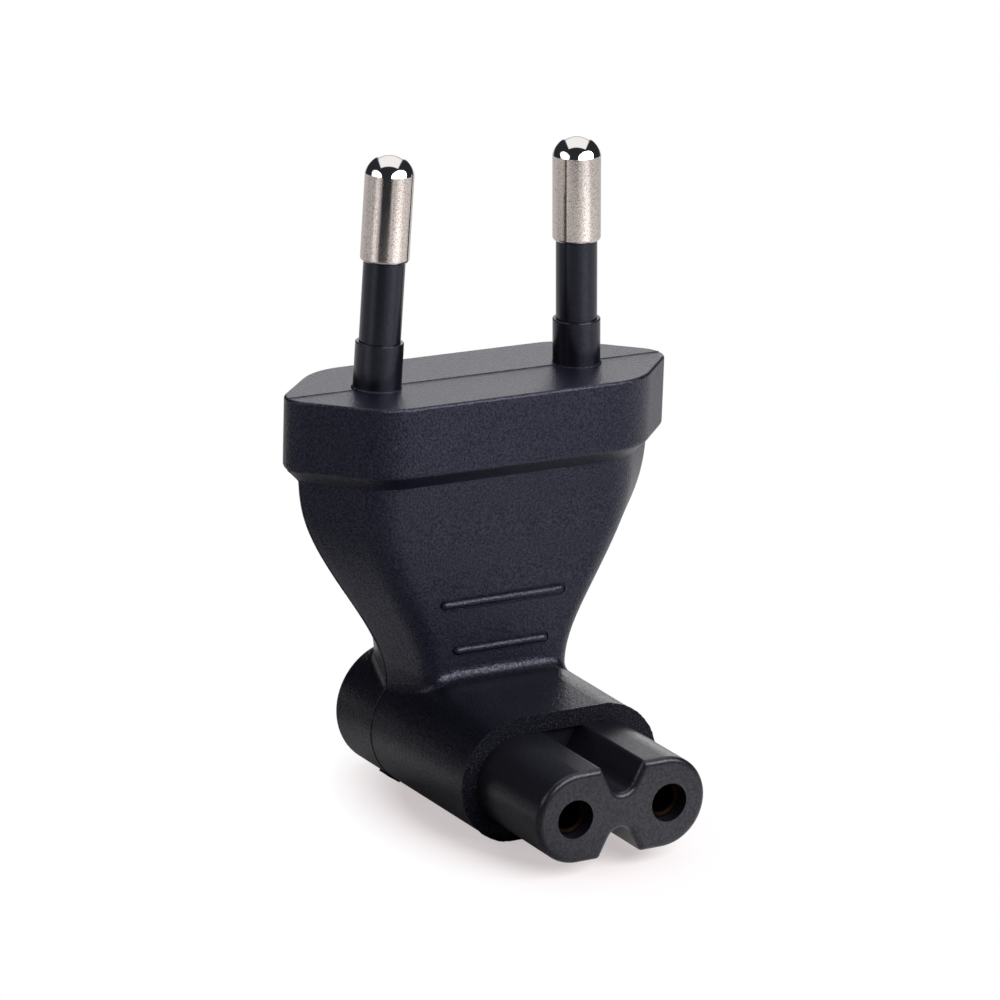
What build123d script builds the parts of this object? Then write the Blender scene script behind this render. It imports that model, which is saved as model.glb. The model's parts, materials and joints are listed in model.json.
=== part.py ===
from build123d import *
import os
from math import acos, atan2, cos, degrees, hypot, pi, radians, sin, tan

# Angled plug adapter: a flat two-pin plug that stands on a right-angled figure-8 socket nose.
# Millimetres. +Z runs up along the pins, +X along their spacing, and the nose points along -Y.
# The underside rests on Z = 0. The plug's middle plane, which parts the mould, is Y = 0.

# Heights: the plug face above the underside, and how much of the barrel's lowest line the underside trims
plug_face_height = 34.4
underside_trim = 0.05

# Pins, measured along each pin from the plug face
pin_spacing = 18.6
pin_tip_spacing = 17.1
pin_length = 19.0
pin_diameter = 3.94
pin_dome_height = 1.55
pin_bare_length = 8.6
pin_shoulder_round = 0.25
pin_shank_diameter = 2.8
pin_sheet_thickness = 0.5
pin_seam_width = 0.14
pin_seam_angles = {"left": 37.0, "right": -57.0}
pin_crimp_gap = 0.5
pin_crimp_length = 3.0

# Insulating sleeves, and the bridge that carries both pins
sleeve_diameter = 3.38
sleeve_tail = 0.5
collar_diameter = 3.92
collar_height = 3.8
collar_edge_round = 0.1
bridge_length = 25.5
bridge_depth = 7.6
bridge_thickness = 5.0
bridge_cover = 1.6

# Plug rim
rim_width = 34.8
rim_depth = 13.4
rim_flat = 23.3
rim_end_round = 2.25
rim_corner_round = 6.0
rim_wall_height = 5.75
rim_bevel = 1.25
rim_edge_round = 0.25
rim_bevel_round = 0.6
collar_bead = 0.12

# Neck, which narrows from the rim to the barrel along one smooth side curve
neck_foot_width = 15.5
neck_foot_depth = 9.6
neck_foot_height = 9.2
neck_foot_facet = 1.15
neck_foot_corner_round = 1.2
neck_foot_end_round = 2.5
neck_top_pull = 6.95
neck_foot_pull = 5.35
neck_sections = 7
neck_fillet = 1.0

# Finger ribs on the neck's front and back panels
rib_heights = (16.95, 12.9)
rib_lengths = (11.4, 8.7)
rib_width = 0.72
rib_stand = 0.32
rib_moat_width = 0.2
rib_moat_depth = 0.12

# Barrel, with a trimmed moulding gate low on its left flank
barrel_front = 14.95
barrel_rear = 6.1
barrel_front_radius = 5.2
barrel_straight = 7.54
barrel_draft = 0.55
barrel_rear_round = 0.35
gate_length = 1.7
gate_width = 1.2
gate_stand = 0.14
gate_angle = 33.0
gate_behind = 0.9

# Figure-8 nose
nose_length = 9.55
nose_radius = 3.78
nose_straight = 7.84
nose_end_round = 0.5
notch_web = 2.9
notch_root_radius = 1.2
notch_wall_angle = 27.0
notch_lip_round = 0.3
insert_embed = 0.75
flange_radius = 4.3
flange_thickness = 3.25

# Socket contacts
contact_pitch = 8.6
contact_hole_diameter = 3.2
contact_hole_depth = 1.1
contact_outer_diameter = 3.9
contact_bore_diameter = 2.45
contact_bore_length = 11.2
contact_lead_in = 0.2
contact_slit = 0.45
contact_crimp_diameter = 2.6
contact_crimp_length = 4.4

# Wires from the contacts' crimps to the pins' crimps
core_diameter = 1.0
core_bite = 2.5
insulation_diameter = 2.2
strip_gap = 0.5
wire_bend_radius = 3.2
wire_spread_radius = 6.0
wire_rise = 6.2
wire_lead = 3.0

# Two places closer than this count as one
near = 1e-3

# Places worked out from the sizes above
nose_axis_height = barrel_front_radius - underside_trim
pin_lean = degrees(atan2((pin_spacing - pin_tip_spacing) / 2, pin_length))
sleeve_top = pin_length - pin_bare_length
bridge_bottom = -bridge_cover - bridge_thickness
sleeve_bottom = bridge_bottom - sleeve_tail
pin_crimp_top = sleeve_bottom - pin_crimp_gap
pin_crimp_bottom = pin_crimp_top - pin_crimp_length
rim_bottom = plug_face_height - rim_wall_height
neck_top = rim_bottom - rim_bevel
nose_end = barrel_front + nose_length
insert_front = barrel_front - insert_embed
insert_rear = insert_front - flange_thickness
contact_front = nose_end - contact_hole_depth
contact_crimp_end = insert_rear - contact_crimp_length
sides = {"left": -1, "right": 1}


def pin_frame(side):
    """Frame of one pin: origin on the plug face, Z along the leaning pin."""
    return Location((side * pin_spacing / 2, 0, plug_face_height), (0, -side * pin_lean, 0))


def contact_frame(side):
    """Frame of one contact: origin in the parting plane, Z out of the socket's mouth."""
    return Location((side * contact_pitch / 2, 0, nose_axis_height), (90, 0, 0))


def nose_plane(distance):
    """Plane across the nose's axis, a distance in front of the parting plane and facing forward."""
    return Plane(origin=(0, -distance, nose_axis_height), x_dir=(1, 0, 0), z_dir=(0, -1, 0))


def turned(*points):
    """Solid of revolution about Z, from a closed outline of (radius, height) points."""
    return revolve(Plane.XZ * make_face(Polyline(*points, close=True)), Axis.Z)


def rod(diameter, low, high):
    """Straight round rod along Z."""
    return Pos(0, 0, low) * extrude(Circle(diameter / 2), high - low)


def facet_normal(half_width, half_depth, half_flat, end_round):
    """Angle from +X of a facet that leaves the flat's corner and runs tangent to the rounded end."""
    centre = half_width - end_round
    reach = hypot(half_flat - centre, half_depth)
    return atan2(half_depth, half_flat - centre) - acos(end_round / reach)


def plug_outline(half_width, half_depth, half_flat, end_round, corner_round):
    """Six-sided outline with flats front and back, four facets, and rounded ends and corners."""
    normal = facet_normal(half_width, half_depth, half_flat, end_round)
    tip = half_width - end_round + end_round / cos(normal)
    upper = [(tip, 0), (half_flat, half_depth), (-half_flat, half_depth)]
    lower = [(-x, -y) for x, y in upper]
    outline = Polygon(*upper, *lower, align=None)
    outline = fillet(outline.vertices().filter_by(lambda v: abs(v.Y) > half_depth - near), corner_round)
    return fillet(outline.vertices().filter_by(lambda v: abs(v.X) > tip - near), end_round)


def neck_side(t):
    """Half width and height of the neck's parting ridge, from the rim (t = 0) to the foot (t = 1)."""
    top = rim_width / 2 - rim_bevel
    foot = neck_foot_width / 2
    weights = ((1 - t) ** 3, 3 * t * (1 - t) ** 2, 3 * t * t * (1 - t), t ** 3)
    widths = (top, top, foot, foot)
    heights = (neck_top, neck_top - neck_top_pull, neck_foot_height + neck_foot_pull, neck_foot_height)
    half_width = sum(w * x for w, x in zip(weights, widths))
    height = sum(w * z for w, z in zip(weights, heights))
    return half_width, height


def neck_rise(height):
    """Share of the way up the neck: 0 at its foot or lower, and 1 at the rim's bevel."""
    return max(0, height - neck_foot_height) / (neck_top - neck_foot_height)


def neck_half_depth(height):
    """Half depth of the neck at a height."""
    foot = neck_foot_depth / 2
    return foot + (rim_depth / 2 - rim_bevel - foot) * neck_rise(height)


def make_plug_head():
    """Rim with its bevelled underside, and the waisted neck below it, as two solids."""
    half_width, half_depth, half_flat = rim_width / 2, rim_depth / 2, rim_flat / 2
    normal = facet_normal(half_width, half_depth, half_flat, rim_end_round)
    top_flat = half_flat - rim_bevel * tan(pi / 4 - normal / 2)
    top_facet = half_width - rim_bevel - top_flat
    top_end, top_corner = rim_end_round - rim_bevel, rim_corner_round - rim_bevel

    def neck_outline(width, height):
        rise = neck_rise(height)
        facet = neck_foot_facet + (top_facet - neck_foot_facet) * rise
        end = neck_foot_end_round + (top_end - neck_foot_end_round) * rise
        corner = neck_foot_corner_round + (top_corner - neck_foot_corner_round) * rise
        return Pos(0, 0, height) * plug_outline(width, neck_half_depth(height), width - facet, end, corner)

    rim_outline = plug_outline(half_width, half_depth, half_flat, rim_end_round, rim_corner_round)
    rim_outline = Pos(0, 0, rim_bottom) * rim_outline
    sections = [neck_outline(*neck_side(i / (neck_sections - 1))) for i in range(neck_sections)]
    sections.append(neck_outline(neck_foot_width / 2, nose_axis_height))
    rim = extrude(rim_outline, rim_wall_height) + loft([rim_outline, sections[0]], ruled=True)
    rim = fillet(rim.edges().group_by(Axis.Z)[-1], rim_edge_round)
    bevel_edges = rim.edges().filter_by_position(Axis.Z, rim_bottom - near, rim_bottom + near)
    return fillet(bevel_edges, rim_bevel_round), loft(sections)


def make_barrel():
    """Stadium-section barrel with a slight draft towards the front."""
    length = barrel_front + barrel_rear
    rear_radius = barrel_front_radius + length * tan(radians(barrel_draft))
    section = nose_plane(-barrel_rear) * SlotCenterToCenter(barrel_straight, 2 * rear_radius)
    barrel = extrude(section, length, taper=barrel_draft)
    return fillet(barrel.faces().sort_by(Axis.Y)[-1].edges(), barrel_rear_round)


def make_ribs():
    """Shallow moats to cut, and half-round finger ribs to add, on the neck's two panels."""
    moats, ribs = [], []
    for height, length in zip(rib_heights, rib_lengths):
        panel = neck_half_depth(height)
        slot = SlotOverall(length + 2 * rib_moat_width, rib_width + 2 * rib_moat_width)
        bar = Rot(0, 90, 0) * extrude(Circle(rib_width / 2), (length - rib_width) / 2, both=True)
        ends = [Pos(end * (length - rib_width) / 2) * Sphere(rib_width / 2) for end in (-1, 1)]
        for face in (-1, 1):
            floor = face * (panel - rib_moat_depth)
            crest = face * (panel + rib_stand - rib_width / 2)
            floor_plane = Plane(origin=(0, floor, height), x_dir=(1, 0, 0), z_dir=(0, face, 0))
            moats.append(extrude(floor_plane * slot, rib_moat_depth + rib_stand))
            ribs += [Pos(0, crest, height) * solid for solid in (bar, *ends)]
    return moats, ribs


def make_gate():
    """Trimmed stub of the moulding gate, low on the barrel's left flank by the parting plane."""
    radius = barrel_front_radius + (barrel_front + gate_behind) * tan(radians(barrel_draft))
    stub = Pos(0, 0, -radius) * Box(gate_width, gate_length, 2 * gate_stand)
    return Pos(-barrel_straight / 2, gate_behind, nose_axis_height) * Rot(0, gate_angle, 0) * stub


def notch_outline():
    """V notch with a round root that opens upwards, drawn across the nose's axis."""
    slope = radians(notch_wall_angle)
    root_centre = notch_web / 2 + notch_root_radius
    touch_x = notch_root_radius * cos(slope)
    touch_y = root_centre - notch_root_radius * sin(slope)
    top = 2 * nose_radius
    top_x = touch_x + (top - touch_y) * tan(slope)
    root = ThreePointArc((-touch_x, touch_y), (0, notch_web / 2), (touch_x, touch_y))
    walls = Polyline((touch_x, touch_y), (top_x, top), (-top_x, top), (-touch_x, touch_y))
    return make_face(root + walls)


def make_insert():
    """Undrilled nose with its notches and embedded flange, and the room for it in the overmoulding."""
    stadium = SlotCenterToCenter(nose_straight, 2 * nose_radius)
    notches = notch_outline() + Rot(0, 0, 180) * notch_outline()
    section = stadium - notches
    corners = section.vertices().filter_by(lambda v: abs(v.Y) > nose_radius - near)
    lips = corners.filter_by(lambda v: abs(v.X) < nose_straight / 2 - near)
    section = fillet(lips, notch_lip_round)
    nose = extrude(nose_plane(insert_front) * section, nose_end - insert_front)
    nose = fillet(nose.faces().sort_by(Axis.Y)[0].edges(), nose_end_round)
    flange = SlotCenterToCenter(nose_straight, 2 * flange_radius)
    flange = extrude(nose_plane(insert_rear) * flange, flange_thickness)
    mouth = extrude(nose_plane(insert_front) * stadium, insert_embed)
    return nose + flange, flange + mouth


def make_bridge():
    """Bar inside the plug head with a collar round each pin, before it is drilled for the sleeves."""
    outline = Pos(0, 0, plug_face_height + bridge_bottom) * SlotOverall(bridge_length, bridge_depth)
    bar = extrude(outline, bridge_thickness)
    collar = rod(collar_diameter, -bridge_cover - bridge_thickness / 2, collar_height)
    collar = fillet(collar.edges().sort_by(Axis.Z)[-1], collar_edge_round)
    for side in sides.values():
        bar += pin_frame(side) * collar
    return bar


def make_pin(seam_angle):
    """Rolled hollow pin with a domed end, an open seam and a crimped tail."""
    tip, shank = pin_diameter / 2, pin_shank_diameter / 2
    dome_low = pin_length - pin_dome_height
    dome_radius = (tip ** 2 + pin_dome_height ** 2) / (2 * pin_dome_height)
    lower = Polyline((tip, dome_low), (tip, sleeve_top), (shank, sleeve_top), (shank, pin_crimp_bottom),
                     (0, pin_crimp_bottom), (0, pin_length))
    blank = make_face(lower + RadiusArc((0, pin_length), (tip, dome_low), dome_radius))
    shoulder = blank.vertices().filter_by(lambda v: abs(v.X - tip) < near and abs(v.Y - sleeve_top) < near)
    pin = revolve(Plane.XZ * fillet(shoulder, pin_shoulder_round), Axis.Z)
    wall = pin_sheet_thickness
    pin -= turned((0, pin_crimp_top), (shank - wall, pin_crimp_top), (shank - wall, sleeve_top + wall),
                  (tip - wall, sleeve_top + 2 * wall), (tip - wall, dome_low - wall / 2),
                  (0, pin_length - 2 * wall))
    pin -= rod(core_diameter, pin_crimp_bottom, pin_crimp_bottom + core_bite)
    seam = Pos(0, -tip, (sleeve_top + dome_low) / 2) * Box(pin_seam_width, 2 * wall, dome_low - sleeve_top)
    return pin - Rot(0, 0, seam_angle) * seam


def make_sleeve():
    """Insulating sleeve from just below the bridge to the bare end of the pin."""
    blank = rod(sleeve_diameter, sleeve_bottom, sleeve_top)
    return blank - rod(pin_shank_diameter, sleeve_bottom, sleeve_top)


def make_contact():
    """Spring tube, slit along its top, with a lead-in at its mouth and a crimp for the wire behind."""
    bore, outer = contact_bore_diameter / 2, contact_outer_diameter / 2
    crimp = contact_crimp_diameter / 2
    floor = contact_front - contact_bore_length
    contact = turned((0, contact_crimp_end), (crimp, contact_crimp_end), (crimp, insert_rear),
                     (outer, insert_rear), (outer, contact_front), (bore + contact_lead_in, contact_front),
                     (bore, contact_front - contact_lead_in), (bore, floor), (0, floor))
    contact -= rod(core_diameter, contact_crimp_end, contact_crimp_end + core_bite)
    slit = Box(contact_slit, 2 * outer, contact_bore_length, align=(Align.CENTER, Align.MIN, Align.MAX))
    return contact - Pos(0, 0, contact_front) * slit


def wire_path(side, contact_end, pin_end):
    """Route back from a contact, up through the neck and out to a pin, cut off at the two given ends."""
    x = side * contact_pitch / 2
    pin = pin_frame(side)
    spread = (pin * Pos(0, 0, pin_crimp_bottom - wire_lead)).position
    finish = (pin * Pos(0, 0, pin_end)).position
    start = (x, -contact_end, nose_axis_height)
    turn = (x, 0, nose_axis_height)
    rise = (x, 0, nose_axis_height + wire_rise)
    radii = (wire_bend_radius, wire_spread_radius, wire_spread_radius)
    return FilletPolyline(start, turn, rise, spread, finish, radius=radii)


def make_wire(side, diameter, contact_end, pin_end):
    """Round wire along its route."""
    path = wire_path(side, contact_end, pin_end)
    return sweep(Plane(origin=path @ 0, z_dir=path % 0) * Circle(diameter / 2), path)


def make_body(keepouts):
    """One-piece overmoulding with room for everything that it encloses."""
    rim, neck = make_plug_head()
    barrel = make_barrel()
    body = neck + barrel
    body = fillet(new_edges(neck, barrel, combined=body).filter_by(GeomType.BSPLINE), neck_fillet)
    moats, ribs = make_ribs()
    body = body - moats + ribs + rim + make_gate()
    body = split(body, Plane.XY)
    collar = collar_diameter / 2
    foot = collar + collar_bead
    root = -bridge_cover / 2
    bead = turned((0, root), (foot, root), (foot, 0), (collar, collar_bead), (0, collar_bead))
    for side in sides.values():
        body += pin_frame(side) * bead
    return body - keepouts


insert, insert_room = make_insert()
bridge = make_bridge()
nodes = {}
keepouts = [insert_room, bridge]
for name, side in sides.items():
    pin_place, contact_place = pin_frame(side), contact_frame(side)
    core_ends = (contact_crimp_end + core_bite, pin_crimp_bottom + core_bite)
    core = make_wire(side, core_diameter, *core_ends)
    jacket_ends = (contact_crimp_end - strip_gap, pin_crimp_bottom - strip_gap)
    jacket = make_wire(side, insulation_diameter, *jacket_ends)
    keepouts += [
        pin_place * rod(pin_shank_diameter, pin_crimp_bottom, sleeve_bottom),
        pin_place * rod(sleeve_diameter, sleeve_bottom, -bridge_cover),
        contact_place * rod(contact_crimp_diameter, contact_crimp_end, insert_rear),
        core, jacket,
    ]
    bridge -= pin_place * rod(sleeve_diameter, sleeve_bottom, sleeve_top)
    insert -= contact_place * rod(contact_outer_diameter, insert_rear, contact_front)
    insert -= contact_place * rod(contact_hole_diameter, contact_front, nose_end)
    nodes[f"pin_{name}"] = pin_place * make_pin(pin_seam_angles[name])
    nodes[f"sleeve_{name}"] = pin_place * make_sleeve()
    nodes[f"contact_{name}"] = contact_place * make_contact()
    nodes[f"wire_{name}"] = core
    nodes[f"wire_insulation_{name}"] = jacket - core

nodes["pin_bridge"] = bridge
nodes["connector_insert"] = insert
nodes["moulded_body"] = make_body(keepouts)

os.makedirs("parts", exist_ok=True)
for name, solid in nodes.items():
    export_step(solid, f"parts/{name}.step")
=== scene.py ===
import json
from math import radians
from random import Random

import bmesh
import bpy
from bpy.props import FloatProperty, FloatVectorProperty, PointerProperty
from mathutils import Matrix, Vector
from mathutils.bvhtree import BVHTree


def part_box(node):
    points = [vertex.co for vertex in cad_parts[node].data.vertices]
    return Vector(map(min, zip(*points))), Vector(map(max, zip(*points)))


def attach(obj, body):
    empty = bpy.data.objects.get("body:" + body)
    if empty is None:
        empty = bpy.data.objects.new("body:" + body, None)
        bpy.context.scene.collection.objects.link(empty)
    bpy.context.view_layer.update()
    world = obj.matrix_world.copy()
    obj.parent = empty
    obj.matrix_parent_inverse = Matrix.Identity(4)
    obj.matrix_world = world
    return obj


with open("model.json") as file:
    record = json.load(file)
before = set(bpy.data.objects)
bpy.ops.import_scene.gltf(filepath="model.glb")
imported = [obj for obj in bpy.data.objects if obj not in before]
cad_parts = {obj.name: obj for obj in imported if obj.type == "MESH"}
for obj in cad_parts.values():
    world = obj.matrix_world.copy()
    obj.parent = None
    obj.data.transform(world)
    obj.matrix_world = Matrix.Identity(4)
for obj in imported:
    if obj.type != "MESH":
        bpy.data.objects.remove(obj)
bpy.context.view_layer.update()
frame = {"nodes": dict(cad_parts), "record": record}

bl_info = {
    "name": "Angled plug adapter",
    "version": (1, 0, 0),
    "blender": (4, 5, 0),
    "location": "3D View > Sidebar > Adapter",
    "description": "Finishes an angled plug adapter: overmoulded body, socket nose, sleeved pins and studio",
    "category": "Object",
}

MM = 0.001
nodes = frame["nodes"]
mounts = {mount["name"]: mount for mount in frame["record"]["mounts"]}


def hex_colour(code):
    """Linear RGBA colour from an sRGB hex value."""
    channels = [int(code[i:i + 2], 16) / 255 for i in (1, 3, 5)]
    linear = [c / 12.92 if c <= 0.04045 else ((c + 0.055) / 1.055) ** 2.4 for c in channels]
    return (*linear, 1.0)


def add_node(tree, kind, inputs=None, **settings):
    """One shader node with its settings, its socket values and its links."""
    new = tree.nodes.new(kind)
    for name, value in settings.items():
        setattr(new, name, value)
    for socket, value in (inputs or {}).items():
        if isinstance(value, bpy.types.NodeSocket):
            tree.links.new(value, new.inputs[socket])
        else:
            new.inputs[socket].default_value = value
    return new


def colour_property(name, description, code):
    return FloatVectorProperty(name=name, description=description, default=hex_colour(code), size=4,
                               min=0.0, max=1.0, subtype="COLOR")


def length_property(name, description, millimetres):
    return FloatProperty(name=name, description=description, default=millimetres * MM, min=0.0,
                         precision=5, subtype="DISTANCE", unit="LENGTH")


class AdapterFinishes(bpy.types.PropertyGroup):
    """Colours and surface sizes of the adapter's materials"""
    pvc_colour: colour_property("PVC", "Carbon-black flexible PVC of the plug head and neck", "#0F0F1D")
    # The barrel below the neck is drawn darker and less blue than the neck's PVC
    barrel_colour: colour_property("Barrel", "The same PVC where the barrel's mould was polished", "#0C0C15")
    nose_colour: colour_property("Nose", "Black plastic of the socket nose", "#111117")
    sleeve_colour: colour_property("Sleeves", "Black plastic of the pin sleeves and collars", "#0C0C13")
    nickel_colour: colour_property("Nickel", "Warm grey nickel plate of the pins' shanks", "#DED3CD")
    dome_colour: colour_property("Dome", "Buffed nickel plate of the pins' domed ends", "#E2DEDB")
    shine_colour: colour_property("Shine", "Cool tint of what the black plastics mirror face on", "#E4E4FF")
    # Painted shade: the contacts' brass is drawn far darker than bare brass, for the shade deep in the nose's holes
    shaded_brass_colour: colour_property("Brass", "Bare spring brass of the socket contacts", "#1C130F")
    copper_colour: colour_property("Copper", "Bare copper of the wire cores", "#B9734F")
    wire_colour: colour_property("Wire", "Brown PVC of the wire insulation", "#5A3A28")
    grain_width: length_property("Grain", "Width of one pebble of the mould's etched grain", 0.18)
    nose_grain_width: length_property("Nose grain", "Width of one pebble of the nose's satin grain", 0.2)
    grit_width: length_property("Grit", "Width of a grit on the rough front of the barrel", 0.22)
    plate_grain_width: length_property("Plate grain", "Width of a pit in the satin nickel plate", 0.085)


class AdapterMoulding(bpy.types.PropertyGroup):
    """Sizes of the thin flash that the mould leaves"""
    flash_radius: length_property("Flash", "Radius of the hairline of flash on the parting plane", 0.06)
    lip_radius: length_property("Front lip", "Radius of the ragged flash round the barrel's front edge", 0.07)


class AdapterStudio(bpy.types.PropertyGroup):
    """Camera and lamps of the studio"""
    lens: FloatProperty(name="Lens", description="Focal length on a 36 mm sensor, in millimetres", default=171.734,
                        min=1.0)
    top_light: FloatProperty(name="Top softbox", description="Power of the softbox overhead", default=0.45, min=0.0,
                             unit="POWER")
    key_light: FloatProperty(name="Key softbox", description="Power of the softbox at the right", default=0.7,
                             min=0.0, unit="POWER")
    left_light: FloatProperty(name="Left softbox", description="Power of the softbox at the left", default=0.25,
                              min=0.0, unit="POWER")
    back_light: FloatProperty(name="Back softbox", description="Power of the softbox behind", default=0.4, min=0.0,
                              unit="POWER")
    fill: FloatProperty(name="Fill", description="Strength of the room's diffuse fill light", default=0.03, min=0.0)


def new_material(name):
    """Empty material with its tree and its principled shader."""
    material = bpy.data.materials.new(name)
    material.use_nodes = True
    tree = material.node_tree
    tree.nodes.clear()
    shader = add_node(tree, "ShaderNodeBsdfPrincipled")
    add_node(tree, "ShaderNodeOutputMaterial", {"Surface": shader.outputs["BSDF"]})
    return material, tree, shader


def assign(material, slot, *names):
    """Give one material to CAD nodes."""
    for name in names:
        target = nodes[name]
        target.data.materials.clear()
        target.data.materials.append(material)


def grained_pvc(finishes):
    """Carbon-black flexible PVC, injection-moulded in a spark-eroded mould.

    The eye sees a blue-black satin skin with a fine pebbled grain, tiny pale specks, and a coarse gritty
    break where the barrel's front was shut off against the nose; the glints on that grit are painted highlights
    in the base colour. The real grain and dust are finer than a pixel of the render, so both are drawn as coarse
    as they need to show.
    """
    material, tree, shader = new_material("flexible_pvc_spark_eroded")
    place = add_node(tree, "ShaderNodeTexCoord").outputs["Object"]
    split = add_node(tree, "ShaderNodeSeparateXYZ", {"Vector": place})
    front_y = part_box("moulded_body")[0].y
    grit_start, grit_full = front_y + 0.25 * MM, front_y + 0.05 * MM
    barrel_top, fillet_middle, fillet_top = 10.5 * MM, 11.2 * MM, 12 * MM
    barrel_depth, neck_depth, grit_depth = 0.04 * MM, 0.06 * MM, 0.3 * MM
    barrel_roughness, neck_roughness = 0.29, 0.34
    # The barrel is drawn with less shine than the neck
    barrel_shine, grit_shine = 0.65, 0.4
    speck_spacing = 0.6 * MM
    pebble = add_node(tree, "ShaderNodeTexNoise", {"Vector": place, "Scale": 1 / finishes.grain_width, "Detail": 2.0,
                                                   "Roughness": 0.6})
    grit = add_node(tree, "ShaderNodeTexNoise", {"Vector": place, "Scale": 1 / finishes.grit_width, "Detail": 3.0,
                                                 "Roughness": 0.75})
    at_front = add_node(tree, "ShaderNodeMapRange", {"Value": split.outputs["Y"], "From Min": grit_start,
                                                     "From Max": grit_full})
    above_barrel = add_node(tree, "ShaderNodeMapRange", {"Value": split.outputs["Z"], "From Min": barrel_top,
                                                         "From Max": fillet_top})
    height = add_node(tree, "ShaderNodeMix", {"Factor": at_front.outputs["Result"], "A": pebble.outputs["Fac"],
                                              "B": grit.outputs["Fac"]}, data_type="FLOAT")
    skin_depth = add_node(tree, "ShaderNodeMapRange", {"Value": above_barrel.outputs["Result"], "To Min": barrel_depth,
                                                       "To Max": neck_depth})
    depth = add_node(tree, "ShaderNodeMix", {"Factor": at_front.outputs["Result"], "A": skin_depth.outputs["Result"],
                                             "B": grit_depth}, data_type="FLOAT")
    bump = add_node(tree, "ShaderNodeBump", {"Strength": 1.0, "Distance": depth.outputs["Result"],
                                             "Height": height.outputs["Result"]})
    gloss = add_node(tree, "ShaderNodeMapRange", {"Value": above_barrel.outputs["Result"],
                                                  "To Min": barrel_roughness, "To Max": neck_roughness})
    # The grain's hollows hold less light than its crowns, so the shine breaks up into specks
    shine = add_node(tree, "ShaderNodeMapRange", {"Value": height.outputs["Result"], "From Min": 0.35,
                                                  "From Max": 0.65, "To Min": 0.24, "To Max": 0.76})
    barrel = add_node(tree, "ShaderNodeMapRange", {"Value": split.outputs["Z"], "From Min": barrel_top,
                                                   "From Max": fillet_middle, "To Min": barrel_shine})
    dulled = add_node(tree, "ShaderNodeMapRange", {"Value": at_front.outputs["Result"], "To Max": grit_shine,
                                                   "To Min": barrel.outputs["Result"]})
    shine = add_node(tree, "ShaderNodeMath", {0: shine.outputs["Result"], 1: dulled.outputs["Result"]},
                     operation="MULTIPLY")
    speck = add_node(tree, "ShaderNodeTexVoronoi", {"Vector": place, "Scale": 1 / speck_spacing})
    dust = add_node(tree, "ShaderNodeMapRange", {"Value": speck.outputs["Distance"], "From Min": 0.05,
                                                 "From Max": 0.08, "To Min": 0.35, "To Max": 0.0})
    # Painted highlights: on the barrel's front the grit's crowns get a pale base colour, standing in for glints of
    # light
    painted_glint = add_node(tree, "ShaderNodeMapRange", {"Value": grit.outputs["Fac"], "From Min": 0.58, "From Max": 0.7,
                                                  "To Min": 0.0, "To Max": 0.35})
    painted_glint = add_node(tree, "ShaderNodeMath", {0: painted_glint.outputs["Result"], 1: at_front.outputs["Result"]},
                     operation="MULTIPLY")
    dust_and_painted_glints = add_node(tree, "ShaderNodeMath", {0: dust.outputs["Result"], 1: painted_glint.outputs[0]}, operation="MAXIMUM")
    skin = add_node(tree, "ShaderNodeMix", {"A": finishes.barrel_colour, "B": finishes.pvc_colour,
                                            "Factor": above_barrel.outputs["Result"]}, data_type="RGBA")
    # Pale base colour for the dust specks and for the painted glints on the front's grit
    tint = add_node(tree, "ShaderNodeMix", {"A": skin.outputs["Result"], "B": hex_colour("#6A6A70"),
                                            "Factor": dust_and_painted_glints.outputs[0]}, data_type="RGBA")
    shader.inputs["Specular Tint"].default_value = finishes.shine_colour
    tree.links.new(tint.outputs["Result"], shader.inputs["Base Color"])
    tree.links.new(gloss.outputs["Result"], shader.inputs["Roughness"])
    tree.links.new(shine.outputs[0], shader.inputs["Specular IOR Level"])
    tree.links.new(bump.outputs["Normal"], shader.inputs["Normal"])
    return material


def satin_plastic(name, colour, shine_colour, grain, depth, roughness, level, speckle):
    """Plastic from a fine-blasted mould or die: an even satin with a small, shallow grain, drawn coarse to show."""
    material, tree, shader = new_material(name)
    cloud_width, cloud_gain = 3 * MM, 1.5
    gloss_swing = 0.3 * speckle
    place = add_node(tree, "ShaderNodeTexCoord").outputs["Object"]
    pebble = add_node(tree, "ShaderNodeTexNoise", {"Vector": place, "Scale": 1 / grain, "Detail": 2.0})
    bump = add_node(tree, "ShaderNodeBump", {"Strength": 1.0, "Distance": depth, "Height": pebble.outputs["Fac"]})
    gloss = add_node(tree, "ShaderNodeMapRange", {"Value": pebble.outputs["Fac"], "From Min": 0.3, "From Max": 0.7,
                                                  "To Min": roughness + gloss_swing,
                                                  "To Max": roughness - gloss_swing})
    shine = add_node(tree, "ShaderNodeMapRange", {"Value": pebble.outputs["Fac"], "From Min": 0.35, "From Max": 0.65,
                                                  "To Min": level - speckle, "To Max": level + speckle})
    cloud = add_node(tree, "ShaderNodeTexNoise", {"Vector": place, "Scale": 1 / cloud_width, "Detail": 1.0})
    tint = add_node(tree, "ShaderNodeMix", {"A": colour, "B": [cloud_gain * c for c in colour[:3]] + [1.0],
                                            "Factor": cloud.outputs["Fac"]}, data_type="RGBA")
    shader.inputs["Specular Tint"].default_value = shine_colour
    tree.links.new(tint.outputs["Result"], shader.inputs["Base Color"])
    tree.links.new(gloss.outputs["Result"], shader.inputs["Roughness"])
    tree.links.new(shine.outputs["Result"], shader.inputs["Specular IOR Level"])
    tree.links.new(bump.outputs["Normal"], shader.inputs["Normal"])
    return material


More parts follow.
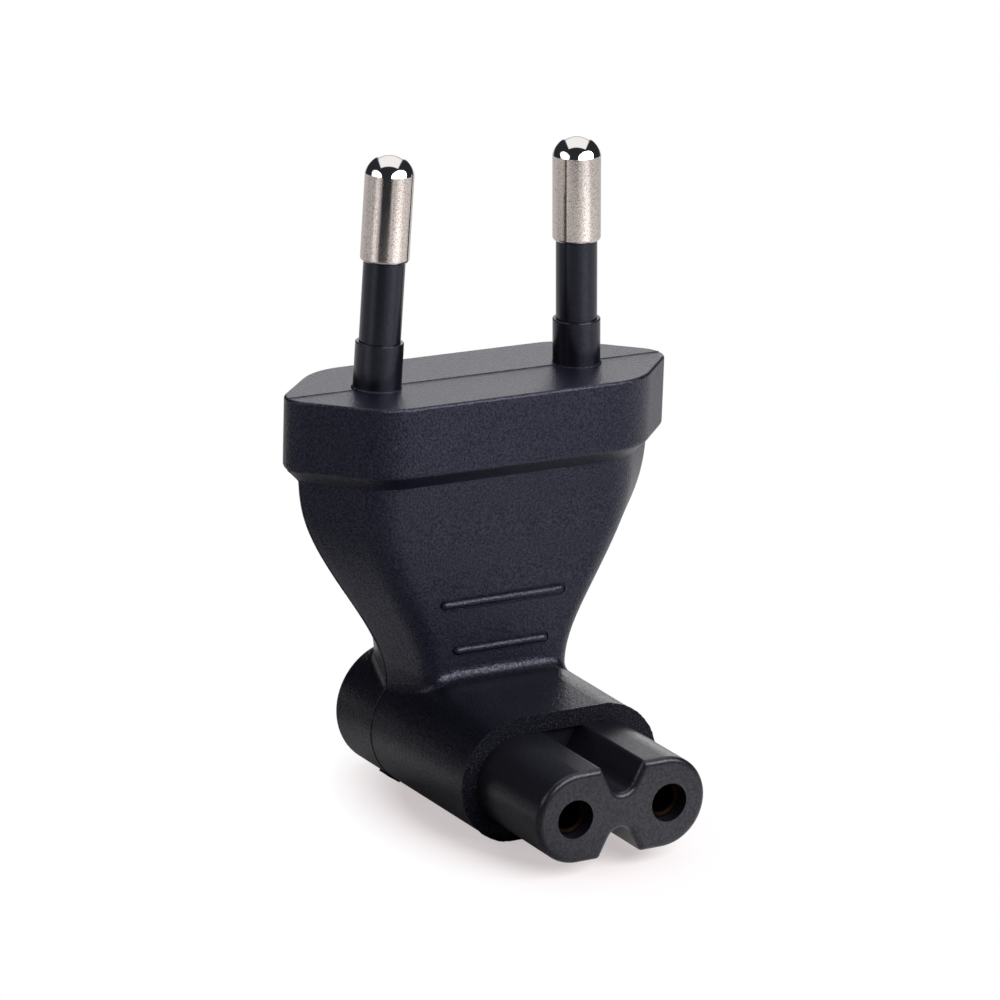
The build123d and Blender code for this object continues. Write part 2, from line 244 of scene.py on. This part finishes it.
def nickel_plate(name, finishes, pin):
    """Nickel plate on rolled brass, pitted on the barrel-finished shank and buffed on the domed end.

    The eye sees a grainy satin cylinder whose reflections smear, and a mirror-bright dome above a crisp edge.
    The real pits are finer than a pixel of the render, so they are drawn as coarse as they need to show, and the
    shade in them is painted darker into the base colour.
    """
    material, tree, shader = new_material(name)
    place = add_node(tree, "ShaderNodeTexCoord").outputs["Object"]
    axis = Vector(mounts[pin]["axis"])
    dome_start = axis.dot(Vector(mounts[pin]["pos_m"])) + mounts[pin]["dims"]["length_mm"] / 2 * MM
    edge = 0.05 * MM
    pit_depth, buffed_depth = 0.0055 * MM, 0.0002 * MM
    shank_roughness, dome_roughness = 0.11, 0.06
    pit_painted_shade = 0.6
    along = add_node(tree, "ShaderNodeVectorMath", {0: place, 1: axis}, operation="DOT_PRODUCT")
    buffed = add_node(tree, "ShaderNodeMapRange", {"Value": along.outputs["Value"], "From Min": dome_start - edge,
                                                   "From Max": dome_start + edge})
    drawn = add_node(tree, "ShaderNodeMapping", {"Vector": place, "Scale": (1.0, 1.0, 0.6)})
    pits = add_node(tree, "ShaderNodeTexNoise", {"Vector": drawn.outputs["Vector"],
                                                 "Scale": 1 / finishes.plate_grain_width, "Detail": 2.0,
                                                 "Roughness": 0.6})
    depth = add_node(tree, "ShaderNodeMapRange", {"Value": buffed.outputs["Result"], "To Min": pit_depth,
                                                  "To Max": buffed_depth})
    bump = add_node(tree, "ShaderNodeBump", {"Strength": 1.0, "Distance": depth.outputs["Result"],
                                             "Height": pits.outputs["Fac"]})
    gloss = add_node(tree, "ShaderNodeMapRange", {"Value": buffed.outputs["Result"], "To Min": shank_roughness,
                                                  "To Max": dome_roughness})
    unpitted = add_node(tree, "ShaderNodeMapRange", {"Value": pits.outputs["Fac"], "From Min": 0.38, "From Max": 0.52})
    # Painted shade: the shank's base colour is darker in the pits, standing in for the shade inside them
    shank = add_node(tree, "ShaderNodeMix", {"A": [pit_painted_shade * c for c in finishes.nickel_colour[:3]] + [1.0],
                                             "B": finishes.nickel_colour, "Factor": unpitted.outputs["Result"]},
                     data_type="RGBA")
    tint = add_node(tree, "ShaderNodeMix", {"A": shank.outputs["Result"], "B": finishes.dome_colour,
                                            "Factor": buffed.outputs["Result"]}, data_type="RGBA")
    shader.inputs["Metallic"].default_value = 1.0
    tree.links.new(tint.outputs["Result"], shader.inputs["Base Color"])
    tree.links.new(gloss.outputs["Result"], shader.inputs["Roughness"])
    tree.links.new(bump.outputs["Normal"], shader.inputs["Normal"])
    return material


def drawn_metal(name, colour, roughness):
    """Bare drawn or stamped metal: a soft gloss, dulled in patches by handling."""
    material, tree, shader = new_material(name)
    patch_width, patch_shade, gloss_swing = 0.8 * MM, 0.6, 0.1
    place = add_node(tree, "ShaderNodeTexCoord").outputs["Object"]
    patch = add_node(tree, "ShaderNodeTexNoise", {"Vector": place, "Scale": 1 / patch_width, "Detail": 2.0})
    gloss = add_node(tree, "ShaderNodeMapRange", {"Value": patch.outputs["Fac"], "To Min": roughness - gloss_swing,
                                                  "To Max": roughness + gloss_swing})
    tint = add_node(tree, "ShaderNodeMix", {"A": colour, "B": [patch_shade * c for c in colour[:3]] + [1.0],
                                            "Factor": patch.outputs["Fac"]}, data_type="RGBA")
    shader.inputs["Metallic"].default_value = 1.0
    tree.links.new(tint.outputs["Result"], shader.inputs["Base Color"])
    tree.links.new(gloss.outputs["Result"], shader.inputs["Roughness"])
    return material


def section_runs(node, point, normal, keep):
    """Runs of points where a plane cuts a node's surface, for the edges that keep() accepts."""
    mesh = bmesh.new()
    mesh.from_mesh(nodes[node].data)
    bmesh.ops.remove_doubles(mesh, verts=mesh.verts, dist=1e-7)
    bmesh.ops.bisect_plane(mesh, geom=mesh.verts[:] + mesh.edges[:] + mesh.faces[:], dist=1e-8, plane_co=point,
                           plane_no=normal, clear_inner=True, clear_outer=True)
    bmesh.ops.remove_doubles(mesh, verts=mesh.verts, dist=1e-6)
    edges = {edge for edge in mesh.edges if keep((edge.verts[0].co + edge.verts[1].co) / 2)}
    runs = []
    while edges:
        first = edges.pop()
        run = [first.verts[0], first.verts[1]]
        for end in (0, 1):
            while True:
                tip = run[-1] if end else run[0]
                step = next((e for e in tip.link_edges if e in edges), None)
                if step is None:
                    break
                edges.discard(step)
                run.insert(len(run) if end else 0, step.other_vert(tip))
        runs.append([vert.co.copy() for vert in run])
    mesh.free()
    if not runs:
        raise RuntimeError(f"the plane does not cut {node}")
    return runs


def bead(name, runs, radius, material, waver, seed):
    """Thin round bead of flash along runs of points, with a slightly uneven thickness."""
    chance = Random(seed)
    curve = bpy.data.curves.new(name, "CURVE")
    curve.dimensions = "3D"
    curve.bevel_depth = radius
    curve.bevel_resolution = 1
    for run in runs:
        closed = (run[0] - run[-1]).length < 1e-6
        points = run[:-1] if closed else run
        spline = curve.splines.new("POLY")
        spline.points.add(len(points) - 1)
        for target, place in zip(spline.points, points):
            target.co = (*place, 1.0)
            target.radius = 1 + waver * chance.uniform(-1, 1)
        spline.use_cyclic_u = closed
    piece = bpy.data.objects.new(name, curve)
    bpy.context.scene.collection.objects.link(piece)
    curve.materials.append(material)
    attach(piece, "root")


class ADAPTER_OT_overmoulding(bpy.types.Operator):
    """Give the overmoulded body its grained PVC"""
    bl_idname = "adapter.overmoulding"
    bl_label = "Overmoulding"

    def execute(self, context):
        assign(grained_pvc(context.scene.adapter_finishes), "pvc_overmould", "moulded_body")
        return {"FINISHED"}


class ADAPTER_OT_flash(bpy.types.Operator):
    """Lay the hairlines of flash along the parting plane and round the barrel's front"""
    bl_idname = "adapter.flash"
    bl_label = "Mould flash"

    def execute(self, context):
        sizes = context.scene.adapter_moulding
        pvc = nodes["moulded_body"].data.materials[0]
        inner = []
        for name, target in nodes.items():
            if name != "moulded_body":
                mesh = bmesh.new()
                mesh.from_mesh(target.data)
                inner.append(BVHTree.FromBMesh(mesh))
                mesh.free()
        low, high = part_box("moulded_body")
        seat_gap, floor_gap, end_gap, lip_inset = 0.05 * MM, 0.3 * MM, 0.2 * MM, 0.07 * MM

        def outside(place):
            return all(tree.find_nearest(place)[3] > seat_gap for tree in inner)

        def on_skin(place):
            return outside(place) and place.z > floor_gap and abs(place.x) < high.x - end_gap

        parting = section_runs("moulded_body", (0, 0, 0), (0, 1, 0), on_skin)
        bead("parting_flash", parting, sizes.flash_radius, pvc, waver=0.25, seed=7)

        def on_edge(place):
            return outside(place) and place.z > 0.1 * MM

        rim = section_runs("moulded_body", (0, low.y + lip_inset, 0), (0, 1, 0), on_edge)
        bead("front_lip", rim, sizes.lip_radius, pvc, waver=0.5, seed=11)
        return {"FINISHED"}


class ADAPTER_OT_socket_nose(bpy.types.Operator):
    """Finish the figure-8 nose and the brass contacts in it"""
    bl_idname = "adapter.socket_nose"
    bl_label = "Socket nose"

    def execute(self, context):
        finishes = context.scene.adapter_finishes
        satin = satin_plastic("hard_pvc_blasted", finishes.nose_colour, hex_colour("#F6F4FF"),
                              grain=finishes.nose_grain_width, depth=0.01 * MM, roughness=0.31, level=0.42,
                              speckle=0.1)
        assign(satin, "insert_plastic", "connector_insert")
        # The brass colour holds painted shade, for the contacts sit deep in the holes
        brass = drawn_metal("spring_brass_stamped", finishes.shaded_brass_colour, roughness=0.55)
        assign(brass, "contact_brass", "contact_left", "contact_right")
        return {"FINISHED"}


class ADAPTER_OT_sleeves(bpy.types.Operator):
    """Finish the sleeves and the bridge whose collars hold the pins"""
    bl_idname = "adapter.sleeves"
    bl_label = "Pin sleeves"

    def execute(self, context):
        finishes = context.scene.adapter_finishes
        smooth = satin_plastic("nylon_sleeve_moulded", finishes.sleeve_colour, finishes.shine_colour,
                               grain=0.25 * MM, depth=0.001 * MM, roughness=0.24, level=0.5, speckle=0.05)
        assign(smooth, "sleeve_plastic", "sleeve_left", "sleeve_right")
        assign(smooth, "bridge_plastic", "pin_bridge")
        return {"FINISHED"}


class ADAPTER_OT_pins(bpy.types.Operator):
    """Finish the plated pins"""
    bl_idname = "adapter.pins"
    bl_label = "Pins"

    def execute(self, context):
        for pin in ("pin_left", "pin_right"):
            plate = nickel_plate(f"nickel_plate_{pin}", context.scene.adapter_finishes, pin)
            assign(plate, "nickel_plate", pin)
        return {"FINISHED"}


class ADAPTER_OT_wires(bpy.types.Operator):
    """Finish the wires that the overmoulding encloses"""
    bl_idname = "adapter.wires"
    bl_label = "Wires"

    def execute(self, context):
        finishes = context.scene.adapter_finishes
        copper = drawn_metal("copper_drawn", finishes.copper_colour, roughness=0.3)
        assign(copper, "copper_core", "wire_left", "wire_right")
        jacket = satin_plastic("wire_pvc_extruded", finishes.wire_colour, hex_colour("#FFFFFF"), grain=0.4 * MM,
                               depth=0.002 * MM, roughness=0.38, level=0.5, speckle=0.06)
        assign(jacket, "wire_pvc", "wire_insulation_left", "wire_insulation_right")
        return {"FINISHED"}


class ADAPTER_OT_stage(bpy.types.Operator):
    """Set the white floor, the softboxes, the room and the camera"""
    bl_idname = "adapter.stage"
    bl_label = "Studio"

    camera_place = Vector((-187.936, -320.312, 138.338)) * MM
    camera_turn = (radians(72.8563), radians(-1.7588), radians(-30.1855))
    camera_side = radians(-30.8)
    aim = Vector((0, 0, 22 * MM))
    # Name, side from the camera and rise in degrees, distance, width and height in metres, power, seen in gloss
    softboxes = (("top_softbox", 180, 75, 0.40, 0.36, 0.36, "top_light", False),
                 ("key_softbox", 52, 33, 0.22, 0.32, 0.14, "key_light", True),
                 ("left_softbox", -66, 28, 0.34, 0.34, 0.145, "left_light", True),
                 ("back_softbox", 180, 25, 0.5, 0.5, 0.3, "back_light", False))
    # The sheet ends at this reach in metres, and nearer between the two sides of its gap, in degrees
    floor_reach = 2.0
    gap_start = 200 * MM
    gap_sides = (-31, 14)
    # Pools of light that only gloss shows: side from the camera in degrees, distance and radius in mm, strength
    pools = ((54, 172, 85, 0.86), (-52, 270, 70, 0.85), (-54, 150, 50, 0.65), (50, 38, 24, 1.1), (-77, 20, 14, 0.34))
    # Share of a pool's radius at full strength
    pool_core = 0.4

    def softbox(self, context, name, side, rise, distance, width, height, power):
        """Oval softbox at a compass side from the camera and a rise, aimed at the adapter."""
        lamp = bpy.data.lights.new(name, "AREA")
        lamp.shape = "ELLIPSE"
        lamp.size, lamp.size_y = width, height
        lamp.energy = power
        box = bpy.data.objects.new(name, lamp)
        context.scene.collection.objects.link(box)
        turn = Matrix.Rotation(self.camera_side + side, 3, "Z") @ Matrix.Rotation(-rise, 3, "X")
        away = turn @ Vector((0, -1, 0))
        box.location = self.aim + away * distance
        box.rotation_euler = (-away).to_track_quat("-Z", "Y").to_euler()
        box.visible_camera = False
        return box

    def floor(self, context):
        """White sheet with a gap towards the camera, where the pins mirror the dark room."""
        material = bpy.data.materials.new("white_sheet")
        material.use_nodes = True
        tree = material.node_tree
        tree.nodes.clear()
        # The camera sees white paper with a warm contact shadow, other rays see it dimmed
        seen_paper, dimmed_paper = (1, 0.97, 0.97, 1), (0.3, 0.3, 0.3, 1)
        shadow_middle, shadow_stretch, shadow_tint = (0, 6.3 * MM, 0), 1.5, (1.04, 0.86, 0.89, 1)
        shadow_inner, shadow_outer = 8.5 * MM, 14 * MM
        # In gloss the paper glows far off, behind the adapter and in the pools
        far_start, far_full, far_glow = 100 * MM, 150 * MM, 0.38
        back_start, back_full, back_glow = 4 * MM, 20 * MM, 0.48
        back = Matrix.Rotation(self.camera_side + radians(165), 3, "Z") @ Vector((0, -1, 0))
        path = add_node(tree, "ShaderNodeLightPath")
        place = add_node(tree, "ShaderNodeTexCoord").outputs["Object"]
        shade = add_node(tree, "ShaderNodeMix", {"Factor": path.outputs["Is Camera Ray"], "A": dimmed_paper,
                                                 "B": seen_paper}, data_type="RGBA")
        paper = add_node(tree, "ShaderNodeBsdfDiffuse", {"Color": shade.outputs["Result"]})
        nearby = add_node(tree, "ShaderNodeMapping", {"Vector": place, "Location": shadow_middle,
                                                      "Scale": (1, 1 / shadow_stretch, 1)})
        away = add_node(tree, "ShaderNodeVectorMath", {0: nearby.outputs["Vector"]}, operation="LENGTH")
        white = add_node(tree, "ShaderNodeMapRange", {"Value": away.outputs["Value"], "From Min": shadow_inner,
                                                      "From Max": shadow_outer, "To Min": 0.5, "To Max": 1.0})
        warm = add_node(tree, "ShaderNodeMix", {"Factor": white.outputs["Result"], "A": shadow_tint,
                                                "B": (1, 1, 1, 1)}, data_type="RGBA")
        white_sheet = add_node(tree, "ShaderNodeEmission", {"Color": warm.outputs["Result"], "Strength": 1.0})
        seen = add_node(tree, "ShaderNodeMath", {0: path.outputs["Is Camera Ray"], 1: white.outputs["Result"]},
                        operation="MULTIPLY")
        mixed = add_node(tree, "ShaderNodeMixShader", {"Fac": seen.outputs[0], 1: paper.outputs[0],
                                                       2: white_sheet.outputs[0]})
        reach = add_node(tree, "ShaderNodeVectorMath", {0: place}, operation="LENGTH")
        far = add_node(tree, "ShaderNodeMapRange", {"Value": reach.outputs["Value"], "From Min": far_start,
                                                    "From Max": far_full, "To Min": 0.0, "To Max": far_glow})
        behind = add_node(tree, "ShaderNodeVectorMath", {0: place, 1: back}, operation="DOT_PRODUCT")
        lit_back = add_node(tree, "ShaderNodeMapRange", {"Value": behind.outputs["Value"], "From Min": back_start,
                                                         "From Max": back_full, "To Min": 0.0, "To Max": back_glow})
        glow = add_node(tree, "ShaderNodeMath", {0: far.outputs["Result"], 1: lit_back.outputs["Result"]},
                        operation="MAXIMUM").outputs[0]
        for side, distance, radius, strength in self.pools:
            middle = Matrix.Rotation(self.camera_side + radians(side), 3, "Z") @ Vector((0, -distance * MM, 0))
            gap = add_node(tree, "ShaderNodeVectorMath", {0: place, 1: middle}, operation="DISTANCE")
            pool = add_node(tree, "ShaderNodeMapRange", {"Value": gap.outputs["Value"], "To Min": strength,
                                                         "From Min": self.pool_core * radius * MM,
                                                         "From Max": radius * MM, "To Max": 0.0})
            glow = add_node(tree, "ShaderNodeMath", {0: glow, 1: pool.outputs["Result"]}, operation="ADD").outputs[0]
        mirrored = add_node(tree, "ShaderNodeMath", {0: path.outputs["Is Glossy Ray"], 1: glow}, operation="MULTIPLY")
        sheen = add_node(tree, "ShaderNodeEmission", {"Color": (1, 1, 1, 1), "Strength": mirrored.outputs[0]})
        both = add_node(tree, "ShaderNodeAddShader", {0: mixed.outputs[0], 1: sheen.outputs[0]})
        add_node(tree, "ShaderNodeOutputMaterial", {"Surface": both.outputs[0]})
        mesh = bpy.data.meshes.new("floor")
        left, right = self.gap_sides
        rim = [(left, self.gap_start), (right, self.gap_start)]
        rim += [(side, self.floor_reach) for side in (right, 80, 140, 200, 260, 360 + left)]
        corners = []
        for side, away in rim:
            corners.append(Matrix.Rotation(self.camera_side + radians(side), 3, "Z") @ Vector((0, -away, 0)))
        mesh.from_pydata(corners, [], [range(len(corners))])
        mesh.materials.append(material)
        sheet = bpy.data.objects.new("floor", mesh)
        context.scene.collection.objects.link(sheet)

    def room(self, context):
        """White to the camera; in gloss a white backdrop behind the adapter and a dim room elsewhere."""
        world = bpy.data.worlds.new("room")
        world.use_nodes = True
        context.scene.world = world
        tree = world.node_tree
        tree.nodes.clear()
        # The backdrop's half width at the horizon and its growth upwards, and how far it comes forward overhead
        half_width, half_growth, overhead = 0.16, 0.5, 0.31
        soft_edge = 0.03
        dim_level, dim_tint = 0.03, (0.85, 0.92, 1.1, 1)
        path = add_node(tree, "ShaderNodeLightPath")
        ray = add_node(tree, "ShaderNodeTexCoord").outputs["Generated"]
        turn = Matrix.Rotation(self.camera_side, 3, "Z")
        across = add_node(tree, "ShaderNodeVectorMath", {0: ray, 1: turn @ Vector((1, 0, 0))}, operation="DOT_PRODUCT")
        ahead = add_node(tree, "ShaderNodeVectorMath", {0: ray, 1: turn @ Vector((0, -1, 0))}, operation="DOT_PRODUCT")
        up = add_node(tree, "ShaderNodeSeparateXYZ", {"Vector": ray}).outputs["Z"]
        half = add_node(tree, "ShaderNodeMath", {0: up, 1: half_growth, 2: half_width}, operation="MULTIPLY_ADD")
        off_middle = add_node(tree, "ShaderNodeMath", {0: across.outputs["Value"]}, operation="ABSOLUTE")
        inside = add_node(tree, "ShaderNodeMath", {0: half.outputs[0], 1: off_middle.outputs[0]}, operation="SUBTRACT")
        front = add_node(tree, "ShaderNodeMath", {0: up, 1: overhead}, operation="MULTIPLY")
        under = add_node(tree, "ShaderNodeMath", {0: front.outputs[0], 1: ahead.outputs["Value"]}, operation="SUBTRACT")
        edge = add_node(tree, "ShaderNodeMath", {0: inside.outputs[0], 1: under.outputs[0]}, operation="MINIMUM")
        # Bright at the horizon, dimmest about 27 degrees up and bright again overhead
        low = add_node(tree, "ShaderNodeMapRange", {"Value": up, "From Min": 0.1, "From Max": 0.45, "To Min": 1.35,
                                                    "To Max": 0.0})
        high = add_node(tree, "ShaderNodeMapRange", {"Value": up, "From Min": 0.45, "From Max": 0.65, "To Min": 0.6,
                                                     "To Max": 1.15})
        level = add_node(tree, "ShaderNodeMath", {0: low.outputs["Result"], 1: high.outputs["Result"]},
                         operation="ADD")
        sweep = add_node(tree, "ShaderNodeMapRange", {"Value": edge.outputs[0], "From Min": -soft_edge,
                                                      "From Max": soft_edge})
        backdrop = add_node(tree, "ShaderNodeMix", {"Factor": sweep.outputs["Result"], "A": dim_level,
                                                    "B": level.outputs[0]}, data_type="FLOAT")
        white = add_node(tree, "ShaderNodeMath", {0: sweep.outputs["Result"], 1: path.outputs["Is Camera Ray"]},
                         operation="MAXIMUM")
        cool = add_node(tree, "ShaderNodeMix", {"Factor": white.outputs[0], "A": dim_tint,
                                                "B": (1, 1, 1, 1)}, data_type="RGBA")
        gloss = add_node(tree, "ShaderNodeMath", {0: path.outputs["Is Glossy Ray"],
                                                  1: path.outputs["Is Transmission Ray"]}, operation="MAXIMUM")
        lit = add_node(tree, "ShaderNodeMix", {"Factor": gloss.outputs[0], "A": context.scene.adapter_studio.fill,
                                               "B": backdrop.outputs["Result"]}, data_type="FLOAT")
        strength = add_node(tree, "ShaderNodeMix", {"Factor": path.outputs["Is Camera Ray"],
                                                    "A": lit.outputs["Result"], "B": 1.0}, data_type="FLOAT")
        light = add_node(tree, "ShaderNodeBackground", {"Color": cool.outputs["Result"],
                                                        "Strength": strength.outputs["Result"]})
        add_node(tree, "ShaderNodeOutputWorld", {"Surface": light.outputs[0]})

    def execute(self, context):
        studio = context.scene.adapter_studio
        self.floor(context)
        self.room(context)
        for name, side, rise, distance, width, height, light, in_gloss in self.softboxes:
            box = self.softbox(context, name, radians(side), radians(rise), distance, width, height,
                               getattr(studio, light))
            box.visible_glossy = in_gloss
        lens = bpy.data.cameras.new("camera")
        lens.sensor_width = 36.0
        lens.lens = studio.lens
        lens.clip_end = 10.0
        camera = bpy.data.objects.new("camera", lens)
        context.scene.collection.objects.link(camera)
        camera.location = self.camera_place
        camera.rotation_euler = self.camera_turn
        context.scene.camera = camera
        context.scene.view_settings.view_transform = "Standard"
        return {"FINISHED"}


OPERATORS = (ADAPTER_OT_overmoulding, ADAPTER_OT_flash, ADAPTER_OT_socket_nose, ADAPTER_OT_sleeves, ADAPTER_OT_pins,
             ADAPTER_OT_wires, ADAPTER_OT_stage)


class ADAPTER_PT_panel(bpy.types.Panel):
    """Sizes, colours and pieces of the adapter"""
    bl_label = "Angled plug adapter"
    bl_idname = "ADAPTER_PT_panel"
    bl_space_type = "VIEW_3D"
    bl_region_type = "UI"
    bl_category = "Adapter"

    def draw(self, context):
        for group in (context.scene.adapter_finishes, context.scene.adapter_moulding, context.scene.adapter_studio):
            box = self.layout.box()
            for name in group.__annotations__:
                box.prop(group, name)
        for operator in OPERATORS:
            self.layout.operator(operator.bl_idname)


CLASSES = (AdapterFinishes, AdapterMoulding, AdapterStudio, *OPERATORS, ADAPTER_PT_panel)


def register():
    for item in CLASSES:
        bpy.utils.register_class(item)
    bpy.types.Scene.adapter_finishes = PointerProperty(type=AdapterFinishes)
    bpy.types.Scene.adapter_moulding = PointerProperty(type=AdapterMoulding)
    bpy.types.Scene.adapter_studio = PointerProperty(type=AdapterStudio)


def unregister():
    del bpy.types.Scene.adapter_studio
    del bpy.types.Scene.adapter_moulding
    del bpy.types.Scene.adapter_finishes
    for item in reversed(CLASSES):
        bpy.utils.unregister_class(item)


def main():
    register()
    for operator in (bpy.ops.adapter.overmoulding, bpy.ops.adapter.flash, bpy.ops.adapter.socket_nose,
                     bpy.ops.adapter.sleeves, bpy.ops.adapter.pins, bpy.ops.adapter.wires, bpy.ops.adapter.stage):
        operator()


if __name__ == "__main__":
    main()
